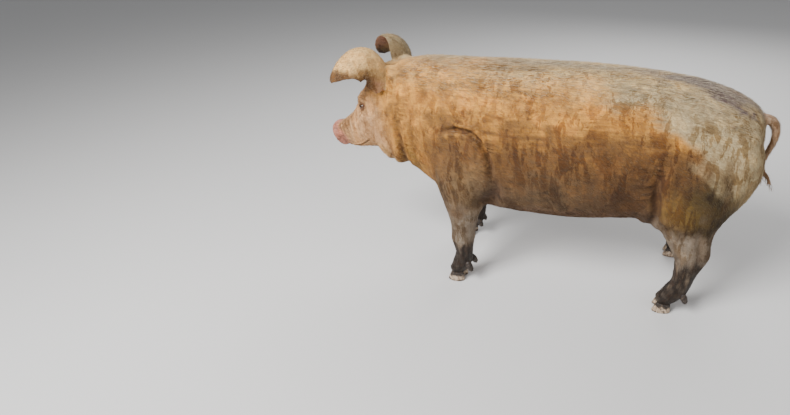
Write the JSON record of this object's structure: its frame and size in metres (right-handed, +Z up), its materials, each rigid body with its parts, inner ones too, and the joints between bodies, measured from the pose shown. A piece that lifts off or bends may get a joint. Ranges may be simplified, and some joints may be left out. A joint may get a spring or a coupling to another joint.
{
  "type": "domestic pig",
  "caption": "Life-size standing domestic pig, a still model with semi-lop ears and a short curled tail.",
  "frame": {"origin": "floor level, at the middle of the bounding box, between the fore and hind feet", "axes": "+Z up, head towards -X, the animal's left side towards -Y"},
  "size_m": [1.7392, 0.4682, 0.9536],
  "materials": {
    "torso_skin": "bristly skin under dried mud and dust",
    "neck_skin": "bristly skin under dried mud and dust",
    "head_skin": "short bristles on dusty skin",
    "snout_skin": "bare moist skin",
    "ear_skin": "thin skin with short bristles",
    "eye": "wet gloss",
    "leg_skin": "short bristles, wet mud below the knee and hock",
    "tail_skin": "bristly skin with a tuft of coarse hair",
    "hoof_horn": "worn horn, muddy",
    "dewclaw_horn": "worn horn, muddy"
  },
  "bodies": {
    "root": {"torso": "torso_skin", "neck": "neck_skin", "head": "head_skin", "snout": "snout_skin", "ear_left": "ear_skin", "ear_right": "ear_skin", "eye_left": "eye", "eye_right": "eye", "leg_front_left": "leg_skin", "leg_front_right": "leg_skin", "leg_hind_left": "leg_skin", "leg_hind_right": "leg_skin", "tail": "tail_skin", "claw_front_left_outer": "hoof_horn", "claw_front_left_inner": "hoof_horn", "claw_front_right_outer": "hoof_horn", "claw_front_right_inner": "hoof_horn", "claw_hind_left_outer": "hoof_horn", "claw_hind_left_inner": "hoof_horn", "claw_hind_right_outer": "hoof_horn", "claw_hind_right_inner": "hoof_horn", "dewclaw_front_left_outer": "dewclaw_horn", "dewclaw_front_left_inner": "dewclaw_horn", "dewclaw_front_right_outer": "dewclaw_horn", "dewclaw_front_right_inner": "dewclaw_horn", "dewclaw_hind_left_outer": "dewclaw_horn", "dewclaw_hind_left_inner": "dewclaw_horn", "dewclaw_hind_right_outer": "dewclaw_horn", "dewclaw_hind_right_inner": "dewclaw_horn"}
  },
  "joints": []
}
